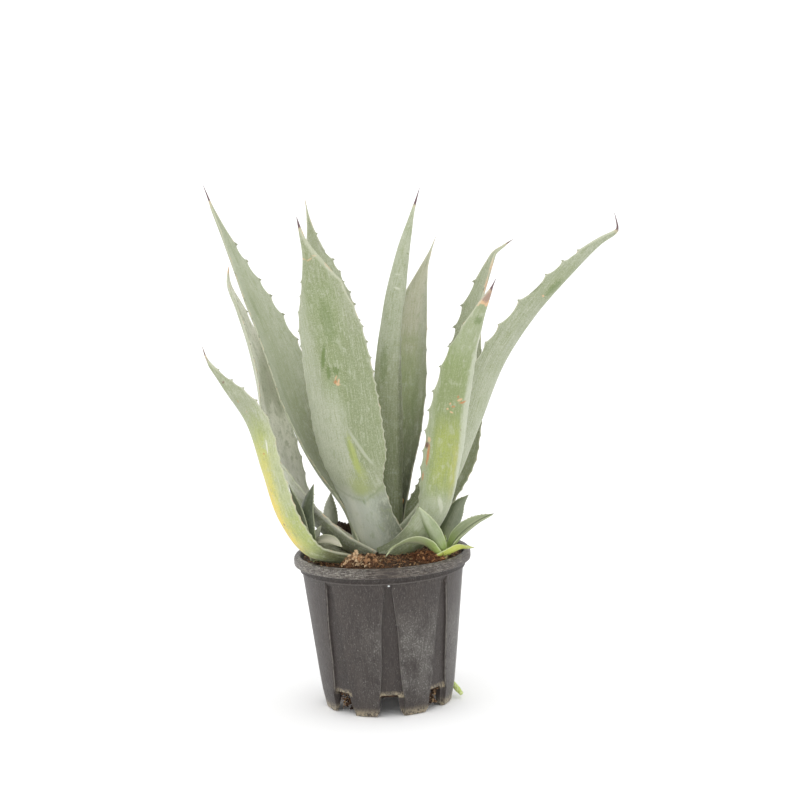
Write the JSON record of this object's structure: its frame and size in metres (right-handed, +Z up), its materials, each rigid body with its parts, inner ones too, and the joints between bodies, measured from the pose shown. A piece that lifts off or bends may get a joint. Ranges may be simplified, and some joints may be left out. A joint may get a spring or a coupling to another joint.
{
  "type": "potted agave",
  "caption": "Young agave in a round plastic nursery pot: long channelled toothed leaves rising from a short stem, small offsets at the soil, grooved wall and slotted feet.",
  "frame": {"origin": "on the floor, under the middle of the whole plant's bounding box; the pot's axis stands beside it, 40 mm to -X and 15 mm to -Y", "axes": "+Z up along the pot's axis, -Y the plant's front, +X to the right of the front view"},
  "size_m": [0.3926, 0.2038, 0.501],
  "materials": {
    "leaf_skin": "waxy grey-green bloom with rubbed greener patches",
    "yellowed_leaf": "waxy, yellowing",
    "young_leaf": "smooth, slightly glossy",
    "stem_tissue": "matt and fibrous",
    "pot_plastic": "satin, scuffed and dusty",
    "potting_soil": "rough, crumbly and fibrous",
    "coir_fibre": "rough and fibrous",
    "bark": "rough"
  },
  "bodies": {
    "root": {"pot": "pot_plastic", "root_ball": "potting_soil", "stem": "stem_tissue", "leaf_left_yellow": "yellowed_leaf", "leaf_left_tall": "leaf_skin", "leaf_left_channelled": "leaf_skin", "leaf_front_broad": "leaf_skin", "leaf_back_left": "leaf_skin", "leaf_centre_spear": "leaf_skin", "leaf_centre_right": "leaf_skin", "leaf_right_front": "leaf_skin", "leaf_right_bent_tip": "leaf_skin", "leaf_right_long": "leaf_skin", "offset_right_stem": "stem_tissue", "offset_right_heart": "young_leaf", "offset_right_leaf_upright": "young_leaf", "offset_right_leaf_long": "young_leaf", "offset_right_leaf_arching": "young_leaf", "offset_right_leaf_yellow": "yellowed_leaf", "offset_back_right_leaf": "young_leaf", "offset_back_right_small_leaf": "young_leaf", "offset_left_stem": "stem_tissue", "offset_left_leaf_dark": "young_leaf", "offset_left_leaf_narrow": "young_leaf", "offset_left_leaf_small": "young_leaf", "offset_left_leaf_curled": "young_leaf", "offset_back_left_leaf": "young_leaf", "rhizome_tip": "young_leaf", "coir_clump": "coir_fibre", "peat_clod": "coir_fibre", "bark_chip": "bark"}
  },
  "joints": []
}
